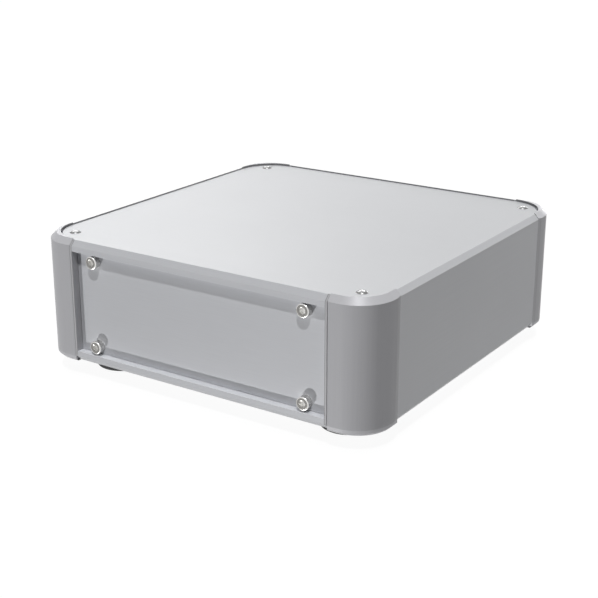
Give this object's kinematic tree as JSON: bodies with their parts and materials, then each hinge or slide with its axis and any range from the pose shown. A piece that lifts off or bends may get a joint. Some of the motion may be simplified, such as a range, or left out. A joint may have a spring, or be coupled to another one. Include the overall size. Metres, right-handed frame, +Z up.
{
  "type": "extruded aluminium enclosure",
  "caption": "Low square instrument case: round extruded corner posts, rail frames, side extrusions, recessed end panels, flat screwed covers and rubber feet.",
  "frame": {"origin": "middle of the footprint, on the surface that the feet stand on", "axes": "+Z up, +X to the right seen from the front, front panel towards -Y"},
  "size_m": [0.16, 0.16, 0.0595],
  "materials": {
    "post_aluminium": "satin silver anodised extrusion",
    "side_aluminium": "satin silver anodised extrusion",
    "rail_aluminium": "satin silver anodised extrusion",
    "bracket_aluminium": "satin silver anodised",
    "panel_aluminium": "fine matt silver anodised sheet",
    "cover_aluminium": "fine matt silver anodised sheet",
    "screw_steel": "bright stainless steel",
    "foot_rubber": "matt black rubber"
  },
  "bodies": {
    "root": {"post_front_left": "post_aluminium", "post_front_right": "post_aluminium", "post_rear_right": "post_aluminium", "post_rear_left": "post_aluminium", "side_panel_right": "side_aluminium", "side_panel_left": "side_aluminium", "rail_front_top": "rail_aluminium", "rail_front_bottom": "rail_aluminium", "rail_rear_top": "rail_aluminium", "rail_rear_bottom": "rail_aluminium", "panel_bracket_front_left": "bracket_aluminium", "panel_bracket_front_right": "bracket_aluminium", "panel_bracket_rear_right": "bracket_aluminium", "panel_bracket_rear_left": "bracket_aluminium", "front_panel": "panel_aluminium", "rear_panel": "panel_aluminium", "top_cover": "cover_aluminium", "bottom_cover": "cover_aluminium", "front_panel_screws": "screw_steel", "rear_panel_screws": "screw_steel", "top_cover_screws": "screw_steel", "bottom_cover_screws": "screw_steel", "rail_screws_right": "screw_steel", "rail_screws_left": "screw_steel", "frame_screws_right": "screw_steel", "frame_screws_left": "screw_steel", "foot_screws": "screw_steel", "foot_nuts": "screw_steel", "foot_front_left": "foot_rubber", "foot_front_right": "foot_rubber", "foot_rear_right": "foot_rubber", "foot_rear_left": "foot_rubber"}
  },
  "joints": []
}
